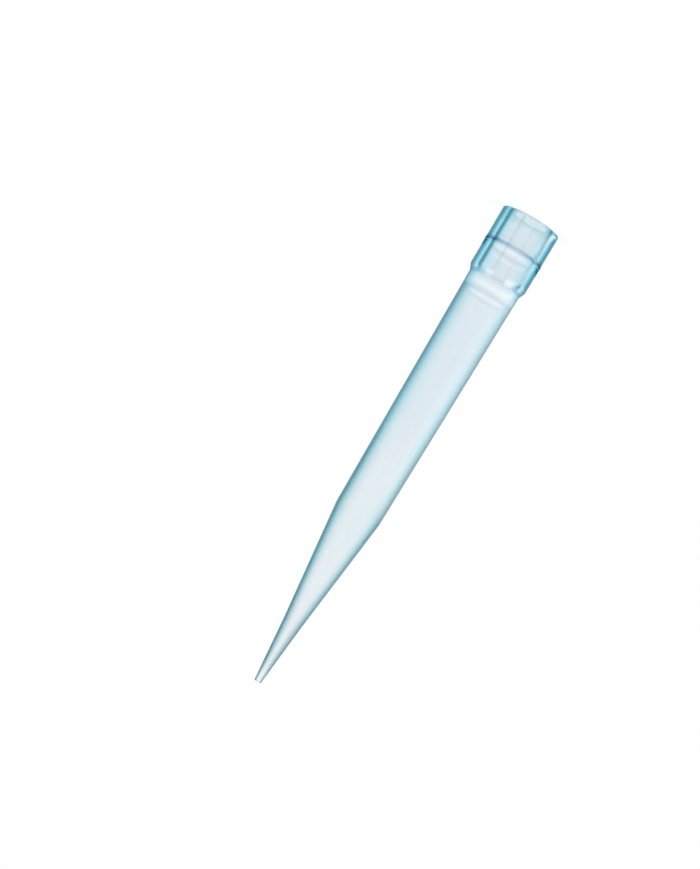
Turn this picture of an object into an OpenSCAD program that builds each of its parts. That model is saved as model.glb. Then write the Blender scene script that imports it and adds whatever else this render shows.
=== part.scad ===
// Large-volume pipette tip, moulded in one piece from clear polypropylene.
// It stands on the rim of its collar, at z = 0, with the orifice at the top, and its axis is the Z axis.
// Every length is in millimetres. Bores and walls are the driving sizes, and the outside follows them.

/* [Overall] */
// Length from the collar's rim to the orifice
tip_length = 150; // [110:1:200]

/* [Socket] */
// Bore of the sealing land that grips the pipette's cone
socket_d = 14.1; // [10:0.1:20]
// Height of the flared lead-in at the mouth
lead_in_height = 0.6; // [0.4:0.1:2.5]
// How much wider than the socket the mouth is, on the radius
lead_in_flare = 0.15; // [0.1:0.05:0.6]

/* [Collar] */
// Wall of the collar at its rim
collar_wall = 1.9; // [1.2:0.05:3]
// Height of the collar's straight part
collar_height = 18.5; // [15:0.5:26]
// Draft of the collar's outside, in degrees
collar_draft = 0.25; // [0:0.05:0.6]
// Height of the sloping shoulder between the collar and the neck
shoulder_height = 2; // [1:0.1:3]

/* [Ring] */
// Height of the middle of the ring bead above the rim
ring_height = 10.3; // [7:0.1:13]
// Width of the ring bead
ring_width = 1.1; // [0.6:0.05:2]
// How far the ring bead stands proud of the collar
ring_proud = 0.08; // [0.02:0.01:0.2]

/* [Neck] */
// Height of the neck bead above the shoulder
neck_height = 2.4; // [1.5:0.1:5]
// Wall of the neck
neck_wall = 0.98; // [0.7:0.02:1.4]
// Step on the radius from the socket to the neck's bore, the stop of the pipette's cone
socket_stop = 0.04; // [0.03:0.01:0.3]
// Step on the radius from the neck's bore to the barrel's bore
barrel_step = 0.02; // [0.02:0.01:0.3]

/* [Barrel] */
// Wall at the top of the barrel, next to the neck
barrel_wall = 0.99; // [0.6:0.01:1.2]
// Wall at the end of the barrel, where the cone begins
barrel_end_wall = 0.62; // [0.4:0.01:1.1]
// Draft of the bore from the neck to the end of the barrel, in degrees
bore_draft = 0.55; // [0.2:0.05:1]

/* [Cone and nose] */
// Length of the cone between the barrel and the nose
cone_length = 35.4; // [25:0.2:45]
// Length of the slender nose
nose_length = 19.2; // [12:0.2:25]
// Bore where the cone meets the nose
nose_d = 4.6; // [3:0.1:5]
// Wall where the cone meets the nose
nose_wall = 0.55; // [0.4:0.01:1]
// Bore of the orifice
orifice_d = 1.3; // [0.8:0.05:2]
// Wall at the orifice
orifice_wall = 0.38; // [0.3:0.01:0.7]

/* [Rounding] */
// Radius of the rim's outer corner
rim_radius = 0.35; // [0.1:0.05:0.6]
// Radius of the small moulded edges
edge_radius = 0.12; // [0.05:0.01:0.2]
// Radius where the barrel, the cone and the nose run into each other
kink_radius = 8; // [1:0.5:20]

/* [Hidden] */
turns_fn = 96;
arc_steps = 4;
slope_height = 0.3;

// Radii of the bore, from the mouth to the orifice
socket_r = socket_d / 2;
mouth_r = socket_r + lead_in_flare;
neck_bore_r = socket_r - socket_stop;
nose_bore_r = nose_d / 2;
orifice_r = orifice_d / 2;

// Heights above the rim
shoulder_z = collar_height + shoulder_height;
socket_end_z = shoulder_z - slope_height;
neck_bore_z = socket_end_z + slope_height;
neck_end_z = shoulder_z + neck_height;
neck_bore_end_z = neck_end_z + 5 * slope_height;
barrel_z = neck_bore_end_z + slope_height;
nose_z = tip_length - nose_length;
cone_z = nose_z - cone_length;
ring_start_z = ring_height - ring_width / 2;
ring_end_z = ring_height + ring_width / 2;
ring_flank = ring_width / 4;

// The bore narrows by its draft above the socket, and the outside follows the bore and the walls
neck_bore_end_r = neck_bore_r - (neck_bore_end_z - neck_bore_z) * tan(bore_draft);
barrel_bore_r = neck_bore_end_r - barrel_step;
barrel_end_bore_r = barrel_bore_r - (cone_z - barrel_z) * tan(bore_draft);
barrel_r = barrel_bore_r + barrel_wall;
barrel_end_r = barrel_end_bore_r + barrel_end_wall;

// Radius of the collar's outside at a height, with its draft
function collar_r(z) = socket_r + collar_wall - z * tan(collar_draft);

// Points of the arc of radius r that rounds the corner b between a and c.
// The arc is kept to a third of the shorter side, so that it never runs past its neighbours.
function rounded(a, b, c, r) =
    let (
        to_a = (a - b) / norm(a - b),
        to_c = (c - b) / norm(c - b),
        half = acos(max(-1, min(1, to_a * to_c))) / 2,
        reach = min(r / tan(half), norm(a - b) / 3, norm(c - b) / 3),
        arc_r = reach * tan(half),
        middle = b + (to_a + to_c) / norm(to_a + to_c) * arc_r / sin(half),
        start = b + to_a * reach - middle,
        end = b + to_c * reach - middle,
        sweep = 180 - 2 * half,
        turn = start.x * end.y - start.y * end.x > 0 ? 1 : -1
    )
    [
        for (i = [0:arc_steps])
            let (angle = turn * sweep * i / arc_steps)
            middle + [
                start.x * cos(angle) - start.y * sin(angle),
                start.x * sin(angle) + start.y * cos(angle)
            ]
    ];

// Outline of a ring of corners [radius, height, rounding], each rounded where its third value isn't 0
function outline(corners) =
    let (count = len(corners), place = [for (k = corners) [k[0], k[1]]])
    [
        for (i = [0:count - 1])
            let (
                before = place[(i + count - 1) % count],
                after = place[(i + 1) % count],
                points = corners[i][2] > 0 ? rounded(before, place[i], after, corners[i][2]) : [place[i]]
            )
            each points
    ];

// The outside, from the rim up to the orifice
outside = [
    [collar_r(0), 0, rim_radius],
    [collar_r(ring_start_z), ring_start_z, edge_radius],
    [collar_r(ring_height) + ring_proud, ring_start_z + ring_flank, edge_radius],
    [collar_r(ring_height) + ring_proud, ring_end_z - ring_flank, edge_radius],
    [collar_r(ring_end_z), ring_end_z, edge_radius],
    [collar_r(collar_height), collar_height, 4 * edge_radius],
    [neck_bore_r + neck_wall, shoulder_z, 4 * edge_radius],
    [neck_bore_r + neck_wall, neck_end_z, edge_radius],
    [barrel_r, neck_end_z + slope_height, edge_radius],
    [barrel_end_r, cone_z, kink_radius],
    [nose_bore_r + nose_wall, nose_z, kink_radius],
    [orifice_r + orifice_wall, tip_length, edge_radius]
];

// The bore, from the orifice back down to the mouth
bore = [
    [orifice_r, tip_length, edge_radius / 2],
    [nose_bore_r, nose_z, kink_radius],
    [barrel_end_bore_r, cone_z, kink_radius],
    [barrel_bore_r, barrel_z, edge_radius],
    [neck_bore_end_r, neck_bore_end_z, edge_radius],
    [neck_bore_r, neck_bore_z, edge_radius],
    [socket_r, socket_end_z, 0],
    [socket_r, lead_in_height, 0],
    [mouth_r, 0, edge_radius]
];

module pipette_tip() {
    color([0.78, 0.9, 0.94, 0.5])
        rotate_extrude($fn = turns_fn)
            polygon(outline(concat(outside, bore)));
}

pipette_tip();
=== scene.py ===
"""A clear moulded pipette tip, standing on its collar in a plain white studio.

Everything is in metres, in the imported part's own frame: +Z runs up the tip's axis, and z = 0 is the rim.
"""

import math
from collections import namedtuple

import bpy
from mathutils import Matrix, Vector


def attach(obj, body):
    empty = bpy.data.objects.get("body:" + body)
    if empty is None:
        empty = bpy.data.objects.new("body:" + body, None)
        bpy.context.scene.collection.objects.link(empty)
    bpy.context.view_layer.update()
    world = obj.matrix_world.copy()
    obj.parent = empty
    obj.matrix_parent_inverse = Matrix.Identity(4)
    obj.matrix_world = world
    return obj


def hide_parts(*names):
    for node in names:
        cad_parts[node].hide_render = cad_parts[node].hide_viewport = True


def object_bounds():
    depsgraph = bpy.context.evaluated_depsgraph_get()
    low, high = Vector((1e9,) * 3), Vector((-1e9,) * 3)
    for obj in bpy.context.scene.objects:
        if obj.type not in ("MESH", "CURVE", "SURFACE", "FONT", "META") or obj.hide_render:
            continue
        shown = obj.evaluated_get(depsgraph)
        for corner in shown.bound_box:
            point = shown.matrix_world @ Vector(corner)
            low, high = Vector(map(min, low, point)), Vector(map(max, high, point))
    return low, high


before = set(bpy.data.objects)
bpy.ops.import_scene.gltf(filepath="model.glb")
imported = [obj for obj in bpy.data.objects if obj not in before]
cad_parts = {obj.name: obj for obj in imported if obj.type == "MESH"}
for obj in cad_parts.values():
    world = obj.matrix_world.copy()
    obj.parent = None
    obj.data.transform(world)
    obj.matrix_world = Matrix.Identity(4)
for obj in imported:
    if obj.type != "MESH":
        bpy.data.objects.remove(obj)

NODE = "pipette_tip"
BODY = "root"
MM = 0.001
WHITE = (1, 1, 1)
BLACK = (0, 0, 0)

cad_low, cad_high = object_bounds()

# Camera: a long lens nearly as high as the orifice, looking slightly down, and rolled so that the collar is at
# the upper right
LENS_MM = 120.0
CAMERA_DISTANCE = 0.8088
CAMERA_HEIGHT = 0.13094
CAMERA_YAW = math.radians(0.930)
CAMERA_PITCH = math.radians(3.768)
CAMERA_ROLL = math.radians(-149.162)

# Mesh of the tip: its section turned about Z, with the long straights cut into steps
TURN_STEPS = 192
LONGEST_STEP = 1.4 * MM
SAME_PLACE = 1e-7
OUTSIDE = "outside"

# The steps of the collar and the neck are looked for in this share of the tip's length. A profile is steep
# where its radius changes by at least this much a unit of height.
COLLAR_SHARE = 0.2
STEEP_OUTSIDE = 0.1
STEEP_BORE = 0.05

# Clear plastic. A ray is tinted where it enters, and the tint deepens as the face turns away from square on,
# partly for its longer path through the plastic and partly as painted shade on the plastic's edges.
# Each stretch of the tip has a law for that, in red, green and blue:
#   tint     the tint seen square on
#   turned   how much it deepens with the turn, taken to the power given, or to TURN_POWER
#   edge     how much it deepens again close to edge on, painted shade on the outline
#   line     how much it deepens in a narrow line, painted shade
#   line_at  how far the face is turned at that line, and how wide the line is
#   deepest  the tint it deepens towards, or DEEPEST_TINT
# The thick collar's socket edge, seen through its wall, gets such a line of painted shade. The turn is 0
# square on and 1 edge on, as Layer Weight's Facing gives it with EVEN_BLEND.
IOR = 1.49
EVEN_BLEND = 0.5
TINT_STOPS = 30
TURN_POWER = 2
EDGE_POWER = 6
NOT_DEEPER = (0, 0, 0)
NO_LINE = (0, 1)
DEEPEST_TINT = (0.0, 0.025, 0.045)
SOCKET_SHADE_LINE = (0.312, 0.05)
COLLAR_TINT = (0.695, 0.776, 0.834)
BARREL_TINT = (0.754, 0.830, 0.885)
COLLAR_OUTSIDE = {
    "tint": COLLAR_TINT,
    "turned": (3.2, 0.6, 0.1),
    "edge": (140.0, 55.0, 38.0),
    "line_at": SOCKET_SHADE_LINE,
    "line": (3.9, 2.5, 2.3),
}
# The ring's law is painted shade: it makes the ring far darker than the collar, for the dark line its flanks
# show
RING_PAINTED_SHADE = {
    "tint": (0.355, 0.445, 0.590),
    "deepest": BLACK,
    "turned": (5.2, 2.2, 1.2),
    "power": 1,
    "edge": (90.0, 60.0, 45.0),
    "line_at": SOCKET_SHADE_LINE,
    "line": (9.0, 3.6, 3.0),
}
NECK_OUTSIDE = {
    "tint": BARREL_TINT,
    "turned": (5.0, 1.8, 0.2),
    "edge": (22.0, 18.0, 20.0),
}
BARREL_OUTSIDE = {
    "tint": (0.768, 0.842, 0.925),
    "turned": (9.3, 3.4, 2.3),
    "edge": (21.0, 29.0, 25.0),
}
LOWER_BARREL_OUTSIDE = {
    "tint": (0.86, 0.913, 0.93),
    "turned": (11.0, 4.9, 3.7),
    "edge": (30.0, 38.0, 36.0),
}
CONE_OUTSIDE = {
    "tint": (0.99, 0.935, 0.975),
    "turned": (20.0, 10.0, 8.5),
}
NOSE_OUTSIDE = {
    "tint": (0.87, 0.99, 0.99),
    "turned": (8.4, 6.6, 5.8),
    "power": 1,
    "edge": (100.0, 80.0, 60.0),
}
COLLAR_BORE = {"tint": COLLAR_TINT, "turned": (4.2, 0.7, 0.0)}
BARREL_BORE = {"tint": BARREL_TINT, "turned": (0.2, 0.2, 0.4)}
SHADOW_TINT = (0.90, 0.94, 0.95, 1)

# Where one law gives way to the next: the ring's just short of its upper flank, the neck's a little past the
# barrel's step, and those after it over the shares of the tip's length given here
RING_SHORT = 0.2 * MM
RING_FADE = 0.9 * MM
NECK_FADE = 0.5 * MM
LAWS_ALONG = (
    (BARREL_OUTSIDE, (0.40, 0.58)),
    (LOWER_BARREL_OUTSIDE, (0.66, 0.86)),
    (CONE_OUTSIDE, (0.755, 0.96)),
)

# Painted highlights and painted shade: soft rings, lighter or darker, where the section steps and bends, in
# order of height. Each has the landmark it goes by, its start and its end above that, how far it fades out
# beyond both, and the colour the tint is multiplied by.
OUTSIDE_PAINTED_LIGHT_AND_SHADE = (
    ("rim_end", 0.2 * MM, 2.8 * MM, 1.2 * MM, (0.72, 0.79, 0.78)),
    ("ring", 1.5 * MM, 1.8 * MM, 0.7 * MM, (1.38, 1.27, 1.18)),
    ("shoulder_end", -0.4 * MM, -0.4 * MM, 0.9 * MM, (0.66, 0.68, 0.70)),
    ("neck_end_middle", 0.0, 0.0, 1.1 * MM, (1.16, 1.12, 1.09)),
    ("barrel_step_end", 0.15 * MM, 0.15 * MM, 0.8 * MM, (0.74, 0.74, 0.79)),
    ("barrel_step_end", 1.6 * MM, 1.6 * MM, 0.8 * MM, (1.12, 1.09, 1.07)),
    ("orifice", -1.0 * MM, 0.0, 5.0 * MM, (1.42, 1.34, 1.32)),
)
# In the bore, painted highlights and painted shade where its section steps, the same way
BORE_PAINTED_LIGHT_AND_SHADE = (
    ("mouth", 0.8 * MM, 0.8 * MM, 1.6 * MM, (1.08, 1.12, 1.12)),
    ("ring", -1.3 * MM, -1.3 * MM, 0.8 * MM, (1.10, 1.08, 1.08)),
    ("ring", 0.8 * MM, 0.8 * MM, 0.8 * MM, (0.82, 0.82, 0.84)),
    ("ring", 2.2 * MM, 2.4 * MM, 0.6 * MM, (1.16, 1.15, 1.18)),
    ("stop_end", 0.4 * MM, 0.4 * MM, 1.2 * MM, (1.20, 1.15, 1.12)),
    ("barrel_step_start", -0.3 * MM, -0.3 * MM, 0.6 * MM, (1.12, 1.08, 1.06)),
    ("barrel_step_end", 0.7 * MM, 0.7 * MM, 0.8 * MM, (0.82, 0.84, 0.86)),
)

# Surface of the plastic: how its gloss varies, the flow lines along the tip with their relief and shade, and
# the faint clouds in its colour, whose tints stand beside the noise that gives them. The scales are in cells a
# metre along each axis.
NOISE_DETAIL = 3.0
NOISE_ROUGHNESS = 0.6
GLOSS_SCALE = (500.0, 500.0, 120.0)
ROUGHEST = 0.07
SMOOTHEST = 0.03
FLOW_SCALE = (900.0, 900.0, 40.0)
FLOW_HEIGHT = 0.003 * MM
FLOW_SHADE = (0.95, 0.965, 0.97)
CLOUD_SCALE = (280.0, 280.0, 60.0)
CLOUD_TINTS = ((0.35, (0.93, 1.0, 0.97)), (0.5, WHITE), (0.65, (1.0, 0.955, 0.97)))

# Parting line of the mould, down both sides of the collar. It fades out just below the shoulder.
PARTING_ANGLE = math.radians(-75)
PARTING_HALF_WIDTH = 0.8 * MM
PARTING_FADE = 1.0 * MM
PARTING_TINT_OUTSIDE = (0.72, 0.80, 0.82)
PARTING_TINT_BORE = (0.90, 0.94, 0.94)

# Stage: a white paper floor and a white room. The paper takes the tip's shadow up to SHADOW_RADIUS, where
# FLOOR_GLOW lifts what is seen of it to white, and it is plain white from FADE_RADIUS on. The room lights
# matt surfaces at ROOM_LEVEL, and is plain white where it is seen.
FLOOR_RADIUS = 3.0
FLOOR_CORNERS = 64
FLOOR_ALBEDO = 0.5
FLOOR_GLOW = 0.54
SHADOW_RADIUS = 0.12
FADE_RADIUS = 0.3
ROOM_LEVEL = 0.7

# What a mirror reflection sees: the room, darker and bluer than it is seen straight, which is painted shade on
# the tip's edges, and a strip light beside the tip. The strip is narrow in what the collar mirrors, from the
# floor close by, and wide in the rest.
# Each part has its turn from +Y, how narrow it is, its strength in the middle and its colour.
Strip = namedtuple("Strip", "turn narrowness level colour")
SHADED_MIRRORED_ROOM = (0.6, 0.86, 0.92)
ROOM_STRIP = Strip(math.radians(88), 3.2, 1.7, (1.0, 0.82, 0.73))
FLOOR_STRIPS = (
    Strip(math.radians(98), 40.0, 6.2, (1.0, 0.84, 0.81)),
    Strip(math.radians(92), 60.0, 8.5, (1.0, 0.88, 0.86)),
    Strip(math.radians(88), 3.2, 3.3, (1.0, 0.78, 0.70)),
)
# Distances on the floor over which each part comes in, while the one before it goes out
STRIP_BOUNDS = ((9 * MM, 14 * MM), (55 * MM, 80 * MM), (130 * MM, 190 * MM))
# A dark band of the floor that only mirrored rays see, painted shade on the ring's ends: its colour in place
# of the room's, what it tints the strip by, and the distances over which it comes in and goes out
DARK_BAND = (0.04, 0.26, 0.38)
DARK_BAND_STRIP = (0.70, 1.05, 1.08)
DARK_BAND_BOUNDS = ((61 * MM, 66 * MM), (88 * MM, 94 * MM))

# Soft lamps: name, place, size and power in watts
LAMPS = (
    ("key", (-0.5, -0.35, 0.5), (0.4, 0.4), 2.0),
    ("fill", (0.5, -0.5, 0.7), (0.5, 0.5), 2.0),
)

# Light paths: enough for light that is caught in the wall of the plastic to come out again. Diffuse Depth is
# a whole number, so it is below LIT_DEPTH only while a ray hasn't come from a matt surface.
LIGHT_BOUNCES = 32
LIT_DEPTH = 0.5


# ---------------------------------------------------------------- nodes


def new_material(name):
    material = bpy.data.materials.new(name)
    material.use_nodes = True
    tree = material.node_tree
    tree.nodes.clear()
    return material, tree


def add(tree, kind, **values):
    """A node of this kind. A value named as one of its inputs is set there, and any other on the node."""
    node = tree.nodes.new(kind)
    for name, value in values.items():
        label = name.replace("_", " ")
        match = [s for s in node.inputs if s.name.lower() == label]
        if match:
            match[0].default_value = value
        else:
            setattr(node, name, value)
    return node


def link(tree, source, target):
    tree.links.new(source, target)


def feed(tree, value, target):
    """Links a socket to the target, or sets a number or rgb there."""
    if isinstance(value, bpy.types.NodeSocket):
        link(tree, value, target)
    elif isinstance(value, (int, float)):
        target.default_value = value
    else:
        target.default_value = (*value, 1)


def calculate(tree, operation, a, b):
    """A Math node's result. a and b are sockets or numbers."""
    node = add(tree, "ShaderNodeMath", operation=operation)
    for socket, value in zip(node.inputs, (a, b)):
        feed(tree, value, socket)
    return node.outputs[0]


def vector_node(tree, operation, vector, by=(0, 0, 0)):
    """A Vector Math node on a vector socket. by is its second vector."""
    node = add(tree, "ShaderNodeVectorMath", operation=operation)
    link(tree, vector, node.inputs[0])
    node.inputs[1].default_value = by
    return node


def mix_colours(tree, blend, factor, a, b):
    """A Mix node's result. factor, a and b are sockets, numbers or colours."""
    node = add(tree, "ShaderNodeMix", data_type="RGBA", blend_type=blend, clamp_result=True)
    sockets = {s.identifier: s for s in (*node.inputs, *node.outputs)}
    for name, value in (("Factor_Float", factor), ("A_Color", a), ("B_Color", b)):
        feed(tree, value, sockets[name])
    return sockets["Result_Color"]


def multiplied(tree, colour, *others):
    """The colour times the others, one after another."""
    for other in others:
        colour = mix_colours(tree, "MULTIPLY", 1.0, colour, other)
    return colour


def ramp(tree, stops, factor, interpolation="LINEAR"):
    """A Color Ramp's colour. stops are (place from 0 to 1, rgb)."""
    node = add(tree, "ShaderNodeValToRGB")
    band = node.color_ramp
    band.interpolation = interpolation
    while len(band.elements) < len(stops):
        band.elements.new(0.5)
    for element, (place, colour) in zip(band.elements, stops):
        element.position = place
        element.color = (*colour, 1)
    link(tree, factor, node.inputs["Fac"])
    return node.outputs["Color"]


def smooth_step(tree, value, start, end):
    """0 below start, 1 above end, and a smooth rise between them."""
    node = add(tree, "ShaderNodeMapRange", interpolation_type="SMOOTHSTEP", from_min=start, from_max=end)
    link(tree, value, node.inputs["Value"])
    return node.outputs["Result"]


def mix_shaders(tree, factor, a, b):
    node = add(tree, "ShaderNodeMixShader")
    for source, target in zip((factor, a, b), node.inputs):
        link(tree, source, target)
    return node.outputs["Shader"]


def add_shaders(tree, a, b):
    node = add(tree, "ShaderNodeAddShader")
    for source, target in zip((a, b), node.inputs):
        link(tree, source, target)
    return node.outputs["Shader"]


# ---------------------------------------------------------------- the tip's mesh


def section_loop(cad):
    """The CAD node's section at y = 0, x > 0, as a closed loop of (radius, height) corners in order."""
    # Vertices in the same place are one corner. index is each corner's number, and number each vertex's.
    places, index, number = [], {}, {}
    for v in cad.data.vertices:
        if abs(v.co.y) > SAME_PLACE or v.co.x < 0:
            continue
        key = (round(v.co.x / SAME_PLACE), round(v.co.z / SAME_PLACE))
        if key not in index:
            index[key] = len(places)
            places.append((v.co.x, v.co.z))
        number[v.index] = index[key]
    beside = {i: set() for i in range(len(places))}
    for e in cad.data.edges:
        a, b = (number.get(i) for i in e.vertices)
        if a is not None and b is not None and a != b:
            beside[a].add(b)
            beside[b].add(a)
    # From corner to corner round the loop
    order, before = [0], None
    while True:
        here = order[-1]
        onward = [i for i in beside[here] if i != before]
        before = here
        if onward[0] == order[0] or len(order) > len(places):
            break
        order.append(onward[0])
    return [places[i] for i in order]


def outside_and_bore(loop):
    """The loop's outside and its bore, each from the rim up to the orifice."""
    # From the outer corner of the orifice's lip, down the outside first
    top = max(z for _, z in loop)
    lip = max((r, i) for i, (r, z) in enumerate(loop) if z > top - SAME_PLACE)[1]
    loop = loop[lip:] + loop[:lip]
    if loop[1][0] < loop[-1][0]:
        loop = [loop[0]] + loop[:0:-1]
    low = min(z for _, z in loop)
    rim = max(i for i, (_, z) in enumerate(loop) if z < low + SAME_PLACE)
    return loop[: rim + 1][::-1], loop[rim + 1 :]


def steep_parts(profile, least, end):
    """The height ranges, up to end, where a profile's radius changes by the least slope given or more."""
    parts = []
    for (r0, z0), (r1, z1) in zip(profile, profile[1:]):
        low, high = sorted((z0, z1))
        if high > end or high - low < SAME_PLACE or abs(r1 - r0) < least * (high - low):
            continue
        if parts and low <= parts[-1][1] + SAME_PLACE:
            parts[-1][1] = high
        else:
            parts.append([low, high])
    return parts


def landmarks(outside, bore):
    """Heights that the tints go by, from the steps of the two profiles."""
    collar_end = COLLAR_SHARE * cad_high.z
    rim, lower_flank, upper_flank, shoulder, neck_end = steep_parts(outside, STEEP_OUTSIDE, collar_end)
    _, stop, barrel_step = steep_parts(bore, STEEP_BORE, collar_end)
    return {
        "mouth": 0.0,
        "rim_end": rim[1],
        "ring": (lower_flank[0] + upper_flank[1]) / 2,
        "ring_start": lower_flank[1],
        "ring_end": upper_flank[0],
        "shoulder_start": shoulder[0],
        "shoulder_end": shoulder[1],
        "neck_end_middle": sum(neck_end) / 2,
        "neck_end": neck_end[1],
        "stop_end": stop[1],
        "barrel_step_start": barrel_step[0],
        "barrel_step_end": barrel_step[1],
        "orifice": cad_high.z,
    }


def subdivided(profile):
    """The profile with its long straights cut into steps of at most LONGEST_STEP."""
    out = []
    for (r0, z0), (r1, z1) in zip(profile, profile[1:]):
        steps = max(1, math.ceil(math.hypot(r1 - r0, z1 - z0) / LONGEST_STEP))
        out += [(r0 + (r1 - r0) * i / steps, z0 + (z1 - z0) * i / steps) for i in range(steps)]
    return out + [profile[-1]]


def revolved(name, loop, outside_count):
    """A closed mesh of the loop turned about Z.

    Its attribute OUTSIDE is 1 at the loop's first outside_count points, and 0 at the rest.
    """
    angles = [2 * math.pi * i / TURN_STEPS for i in range(TURN_STEPS)]
    vertices = [(r * math.cos(a), r * math.sin(a), z) for a in angles for r, z in loop]
    count = len(loop)
    faces = []
    for i in range(TURN_STEPS):
        near, far = i * count, (i + 1) % TURN_STEPS * count
        for j in range(count):
            k = (j + 1) % count
            faces.append((near + j, near + k, far + k, far + j))
    mesh = bpy.data.meshes.new(name)
    mesh.from_pydata(vertices, [], faces)
    mesh.validate()
    mesh.shade_smooth()
    outside = mesh.attributes.new(OUTSIDE, "FLOAT", "POINT")
    outside.data.foreach_set("value", [float(j < outside_count) for _ in angles for j in range(count)])
    return mesh


def face_outward(mesh):
    """Turns the faces over if they point into the plastic."""
    volume = sum(f.center.dot(f.normal) * f.area for f in mesh.polygons) / 3
    if volume < 0:
        mesh.flip_normals()


# ---------------------------------------------------------------- the plastic


def slant_tint(
    tree,
    facing,
    tint,
    turned,
    deepest=DEEPEST_TINT,
    power=TURN_POWER,
    edge=NOT_DEEPER,
    line_at=NO_LINE,
    line=NOT_DEEPER,
):
    """The tint of a face that a ray enters by, which deepens as the face turns edge on."""
    stops = []
    for i in range(TINT_STOPS + 1):
        place = i / TINT_STOPS
        near_line = math.exp(-(((place - line_at[0]) / line_at[1]) ** 2))
        depths = [
            t * place**power + e * place**EDGE_POWER + n * near_line for t, e, n in zip(turned, edge, line)
        ]
        stops.append((place, [d + (c - d) * math.exp(-depth) for c, d, depth in zip(tint, deepest, depths)]))
    return ramp(tree, stops, facing)


def bands(tree, height, marks):
    """Soft rings, as colours to multiply by.

    marks are (low, high, soft, colour), in order and apart: full between low and high, and gone at soft
    beyond them.
    """
    top = marks[-1][1] + 2 * marks[-1][2]
    stops = [(0.0, WHITE)]
    for low, high, soft, colour in marks:
        stops += [(low - soft, WHITE), (low, colour), (high, colour), (high + soft, WHITE)]
    share = calculate(tree, "DIVIDE", height, top)
    return ramp(tree, [(place / top, colour) for place, colour in stops], share, "EASE")


def placed(marks, at):
    """The marks as bands() takes them, with the heights of their landmarks added."""
    return [(at[name] + low, at[name] + high, soft, colour) for name, low, high, soft, colour in marks]


def stretched_noise(tree, place, scale):
    """Noise from 0 to 1, with its own scale along each axis, in cells a metre."""
    stretch = vector_node(tree, "MULTIPLY", place, scale)
    noise = add(tree, "ShaderNodeTexNoise", scale=1.0, detail=NOISE_DETAIL, roughness=NOISE_ROUGHNESS)
    link(tree, stretch.outputs["Vector"], noise.inputs["Vector"])
    return noise.outputs["Fac"]


def outer_tint(tree, facing, height, past_collar, at):
    """The outside's tint, from the laws of the nose back down to the collar and its ring, times the painted
    highlights and painted shade at its steps.
    """
    tint = slant_tint(tree, facing, **NOSE_OUTSIDE)
    for law, shares in reversed(LAWS_ALONG):
        past = smooth_step(tree, height, *(share * cad_high.z for share in shares))
        tint = mix_colours(tree, "MIX", past, slant_tint(tree, facing, **law), tint)
    past_neck = smooth_step(tree, height, at["neck_end"], at["barrel_step_end"] + NECK_FADE)
    tint = mix_colours(tree, "MIX", past_neck, slant_tint(tree, facing, **NECK_OUTSIDE), tint)
    # The ring's law is painted shade, darker than the collar's
    off_ring = bands(tree, height, [(at["ring_start"], at["ring_end"] - RING_SHORT, RING_FADE, BLACK)])
    ring, collar = (slant_tint(tree, facing, **law) for law in (RING_PAINTED_SHADE, COLLAR_OUTSIDE))
    collar = mix_colours(tree, "MIX", off_ring, ring, collar)
    tint = mix_colours(tree, "MIX", past_collar, collar, tint)
    return multiplied(tree, tint, bands(tree, height, placed(OUTSIDE_PAINTED_LIGHT_AND_SHADE, at)))


def inner_tint(tree, facing, height, past_collar, at):
    """The bore's tint, times the painted highlights and painted shade at its steps."""
    collar, barrel = (slant_tint(tree, facing, **law) for law in (COLLAR_BORE, BARREL_BORE))
    tint = mix_colours(tree, "MIX", past_collar, collar, barrel)
    return multiplied(tree, tint, bands(tree, height, placed(BORE_PAINTED_LIGHT_AND_SHADE, at)))


def parting_tint(tree, parts, side, at):
    """The parting line's tint, and white off the line."""
    across = calculate(
        tree,
        "SUBTRACT",
        calculate(tree, "MULTIPLY", parts.outputs["X"], math.sin(PARTING_ANGLE)),
        calculate(tree, "MULTIPLY", parts.outputs["Y"], math.cos(PARTING_ANGLE)),
    )
    beside = smooth_step(tree, calculate(tree, "ABSOLUTE", across, 0.0), 0.0, PARTING_HALF_WIDTH)
    end = at["shoulder_start"]
    above = smooth_step(tree, parts.outputs["Z"], end - PARTING_FADE, end)
    line = mix_colours(tree, "MIX", side, PARTING_TINT_BORE, PARTING_TINT_OUTSIDE)
    return mix_colours(tree, "MIX", calculate(tree, "MAXIMUM", beside, above), line, WHITE)


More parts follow.
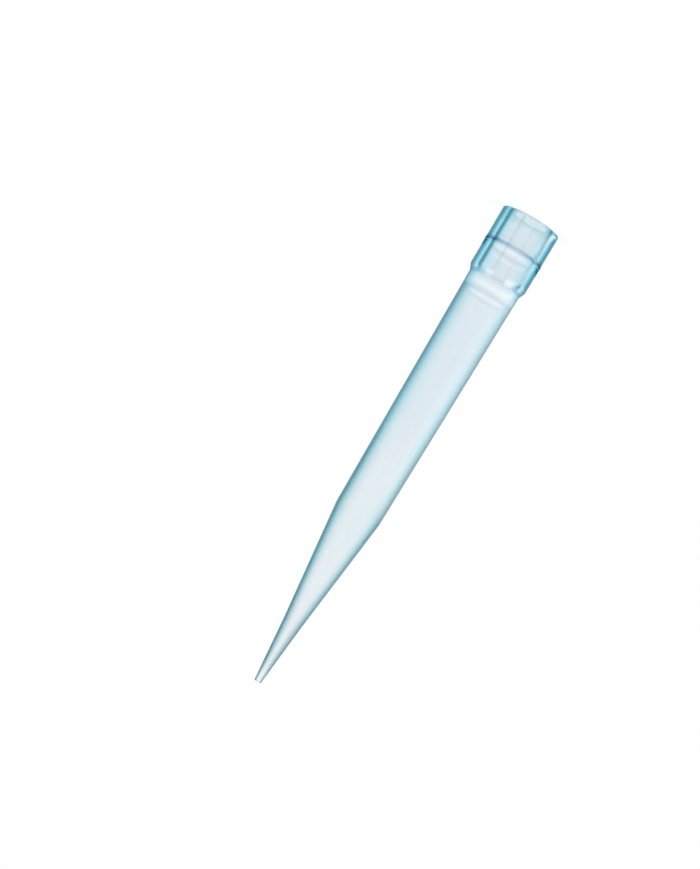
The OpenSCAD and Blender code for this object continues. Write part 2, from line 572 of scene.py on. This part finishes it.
def clear_polypropylene(outside, bore):
    """Clear blue-tinted plastic. The section's profiles, outside and bore, say where its steps are."""
    at = landmarks(outside, bore)
    material, tree = new_material("clear_polypropylene_look")
    place = add(tree, "ShaderNodeTexCoord").outputs["Object"]
    parts = add(tree, "ShaderNodeSeparateXYZ")
    link(tree, place, parts.inputs["Vector"])
    height = parts.outputs["Z"]
    facing = add(tree, "ShaderNodeLayerWeight", blend=EVEN_BLEND).outputs["Facing"]
    side = add(tree, "ShaderNodeAttribute", attribute_name=OUTSIDE).outputs["Fac"]
    past_collar = smooth_step(tree, height, at["shoulder_start"], at["shoulder_end"])
    flow = stretched_noise(tree, place, FLOW_SCALE)

    outer = outer_tint(tree, facing, height, past_collar, at)
    inner = inner_tint(tree, facing, height, past_collar, at)
    tint = multiplied(
        tree,
        mix_colours(tree, "MIX", side, inner, outer),
        parting_tint(tree, parts, side, at),
        mix_colours(tree, "MIX", flow, FLOW_SHADE, WHITE),
        ramp(tree, CLOUD_TINTS, stretched_noise(tree, place, CLOUD_SCALE)),
    )
    # A ray that leaves the plastic isn't tinted again
    leaving = add(tree, "ShaderNodeNewGeometry").outputs["Backfacing"]

    plastic = add(tree, "ShaderNodeBsdfPrincipled", ior=IOR, transmission_weight=1.0)
    link(tree, mix_colours(tree, "MIX", leaving, tint, WHITE), plastic.inputs["Base Color"])
    gloss = add(tree, "ShaderNodeMapRange", to_min=SMOOTHEST, to_max=ROUGHEST)
    link(tree, stretched_noise(tree, place, GLOSS_SCALE), gloss.inputs["Value"])
    link(tree, gloss.outputs["Result"], plastic.inputs["Roughness"])
    relief = add(tree, "ShaderNodeBump", distance=FLOW_HEIGHT, strength=1.0)
    link(tree, flow, relief.inputs["Height"])
    link(tree, relief.outputs["Normal"], plastic.inputs["Normal"])

    shadow = add(tree, "ShaderNodeBsdfTransparent", color=SHADOW_TINT)
    shadow_ray = add(tree, "ShaderNodeLightPath").outputs["Is Shadow Ray"]
    shader = mix_shaders(tree, shadow_ray, plastic.outputs["BSDF"], shadow.outputs["BSDF"])
    output = add(tree, "ShaderNodeOutputMaterial")
    link(tree, shader, output.inputs["Surface"])
    return material


# ---------------------------------------------------------------- stage


def seen_directly(tree):
    """1 for a ray from the camera, a reflection or a refraction, and 0 for what lights a matt surface."""
    path = add(tree, "ShaderNodeLightPath")
    either = calculate(tree, "MAXIMUM", path.outputs["Is Camera Ray"], path.outputs["Is Glossy Ray"])
    either = calculate(tree, "MAXIMUM", either, path.outputs["Is Transmission Ray"])
    unlit = calculate(tree, "LESS_THAN", path.outputs["Diffuse Depth"], LIT_DEPTH)
    return calculate(tree, "MULTIPLY", either, unlit)


def mirrored(tree):
    """1 for a ray that has only been mirrored, and 0 for one that has been through the plastic."""
    path = add(tree, "ShaderNodeLightPath")
    share = calculate(tree, "SUBTRACT", path.outputs["Is Glossy Ray"], path.outputs["Is Transmission Ray"])
    unlit = calculate(tree, "LESS_THAN", path.outputs["Diffuse Depth"], LIT_DEPTH)
    return calculate(tree, "MULTIPLY", calculate(tree, "MAXIMUM", share, 0.0), unlit)


def strip_strength(tree, vector, strip, share):
    """The strip's strength where a vector from the tip points, at any height, times the share that shows."""
    flat = vector_node(tree, "MULTIPLY", vector, (1, 1, 0))
    unit = vector_node(tree, "NORMALIZE", flat.outputs["Vector"])
    middle = (-math.sin(strip.turn), math.cos(strip.turn), 0)
    along = vector_node(tree, "DOT_PRODUCT", unit.outputs["Vector"], middle)
    towards = calculate(tree, "MAXIMUM", along.outputs["Value"], 0.0)
    strength = calculate(tree, "MULTIPLY", calculate(tree, "POWER", towards, strip.narrowness), strip.level)
    return calculate(tree, "MULTIPLY", strength, share)


def glow(tree, kind, colour, strength):
    """The shader of an Emission or a Background node. The colour is a socket or rgb."""
    node = add(tree, kind)
    feed(tree, colour, node.inputs["Color"])
    link(tree, strength, node.inputs["Strength"])
    return node.outputs[0]


def emission(tree, colour, strength):
    return glow(tree, "ShaderNodeEmission", colour, strength)


def background(tree, colour, strength):
    return glow(tree, "ShaderNodeBackground", colour, strength)


def floor_white():
    """White paper: it takes the tip's shadow near the tip, and fades to plain white further out."""
    material, tree = new_material("stage_white")
    place = add(tree, "ShaderNodeNewGeometry").outputs["Position"]
    radius = vector_node(tree, "LENGTH", place).outputs["Value"]
    seen = seen_directly(tree)
    only_mirrored = mirrored(tree)
    # Mirrored rays see the room darker and bluer, and a dark band that paints shade on the ring's ends
    band_start, band_end = (smooth_step(tree, radius, *bound) for bound in DARK_BAND_BOUNDS)
    on_band = calculate(tree, "SUBTRACT", band_start, band_end)
    mirrored_room = mix_colours(tree, "MIX", on_band, SHADED_MIRRORED_ROOM, DARK_BAND)
    room = mix_colours(tree, "MIX", only_mirrored, WHITE, mirrored_room)

    paper = add(tree, "ShaderNodeBsdfDiffuse")
    link(tree, multiplied(tree, room, (FLOOR_ALBEDO,) * 3), paper.inputs["Color"])
    lift = emission(tree, room, calculate(tree, "MULTIPLY", seen, FLOOR_GLOW))
    near = add_shaders(tree, paper.outputs["BSDF"], lift)
    fade = calculate(tree, "MULTIPLY", smooth_step(tree, radius, SHADOW_RADIUS, FADE_RADIUS), seen)
    shader = mix_shaders(tree, fade, near, emission(tree, room, seen))

    starts = [smooth_step(tree, radius, *bound) for bound in STRIP_BOUNDS]
    starts = [calculate(tree, "MULTIPLY", only_mirrored, start) for start in starts]
    for strip, start, end in zip(FLOOR_STRIPS, starts, starts[1:] + [0.0]):
        strength = strip_strength(tree, place, strip, calculate(tree, "SUBTRACT", start, end))
        colour = mix_colours(tree, "MULTIPLY", on_band, strip.colour, DARK_BAND_STRIP)
        shader = add_shaders(tree, shader, emission(tree, colour, strength))
    output = add(tree, "ShaderNodeOutputMaterial")
    link(tree, shader, output.inputs["Surface"])
    return material


def make_floor():
    angles = [2 * math.pi * i / FLOOR_CORNERS for i in range(FLOOR_CORNERS)]
    mesh = bpy.data.meshes.new("floor")
    mesh.from_pydata(
        [(FLOOR_RADIUS * math.cos(a), FLOOR_RADIUS * math.sin(a), 0) for a in angles],
        [],
        [tuple(range(FLOOR_CORNERS))],
    )
    floor = bpy.data.objects.new("floor", mesh)
    bpy.context.scene.collection.objects.link(floor)
    mesh.materials.append(floor_white())


def make_world():
    world = bpy.data.worlds.new("studio")
    bpy.context.scene.world = world
    world.use_nodes = True
    tree = world.node_tree
    tree.nodes.clear()
    strength = calculate(tree, "MULTIPLY", seen_directly(tree), 1 - ROOM_LEVEL)
    strength = calculate(tree, "ADD", strength, ROOM_LEVEL)
    only_mirrored = mirrored(tree)
    # Mirrored rays see the room darker and bluer: painted shade on the tip's edges
    room = mix_colours(tree, "MIX", only_mirrored, WHITE, SHADED_MIRRORED_ROOM)
    direction = add(tree, "ShaderNodeTexCoord").outputs["Generated"]
    strip = background(tree, ROOM_STRIP.colour, strip_strength(tree, direction, ROOM_STRIP, only_mirrored))
    output = add(tree, "ShaderNodeOutputWorld")
    link(tree, add_shaders(tree, background(tree, room, strength), strip), output.inputs["Surface"])


# ---------------------------------------------------------------- lamps, camera and the tip itself


def add_lamp(name, place, size, power):
    """A soft area lamp that faces the middle of the tip."""
    data = bpy.data.lights.new(name, "AREA")
    data.shape = "RECTANGLE"
    data.size, data.size_y = size
    data.energy = power
    lamp = bpy.data.objects.new(name, data)
    middle = (cad_low + cad_high) / 2
    lamp.location = place
    lamp.rotation_euler = (middle - Vector(place)).to_track_quat("-Z", "Y").to_euler()
    bpy.context.scene.collection.objects.link(lamp)


def make_camera():
    data = bpy.data.cameras.new("camera")
    data.lens = LENS_MM
    camera = bpy.data.objects.new("camera", data)
    camera.location = (0, -CAMERA_DISTANCE, CAMERA_HEIGHT)
    turn = Matrix.Rotation(-CAMERA_YAW, 4, "Z") @ Matrix.Rotation(math.pi / 2 - CAMERA_PITCH, 4, "X")
    camera.rotation_euler = (turn @ Matrix.Rotation(CAMERA_ROLL, 4, "Z")).to_euler()
    bpy.context.scene.collection.objects.link(camera)
    bpy.context.scene.camera = camera


def make_tip():
    outside, bore = outside_and_bore(section_loop(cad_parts[NODE]))
    outer, inner = subdivided(outside), subdivided(bore[::-1])
    mesh = revolved("tip", outer + inner, len(outer))
    face_outward(mesh)
    mesh.materials.append(clear_polypropylene(outside, bore))
    tip = bpy.data.objects.new("tip", mesh)
    bpy.context.scene.collection.objects.link(tip)
    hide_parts(NODE)
    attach(tip, BODY)


make_tip()
make_floor()
make_world()
for lamp in LAMPS:
    add_lamp(*lamp)
make_camera()
bpy.context.scene.view_settings.view_transform = "Standard"
cycles = bpy.context.scene.cycles
cycles.max_bounces = cycles.glossy_bounces = cycles.transmission_bounces = LIGHT_BOUNCES
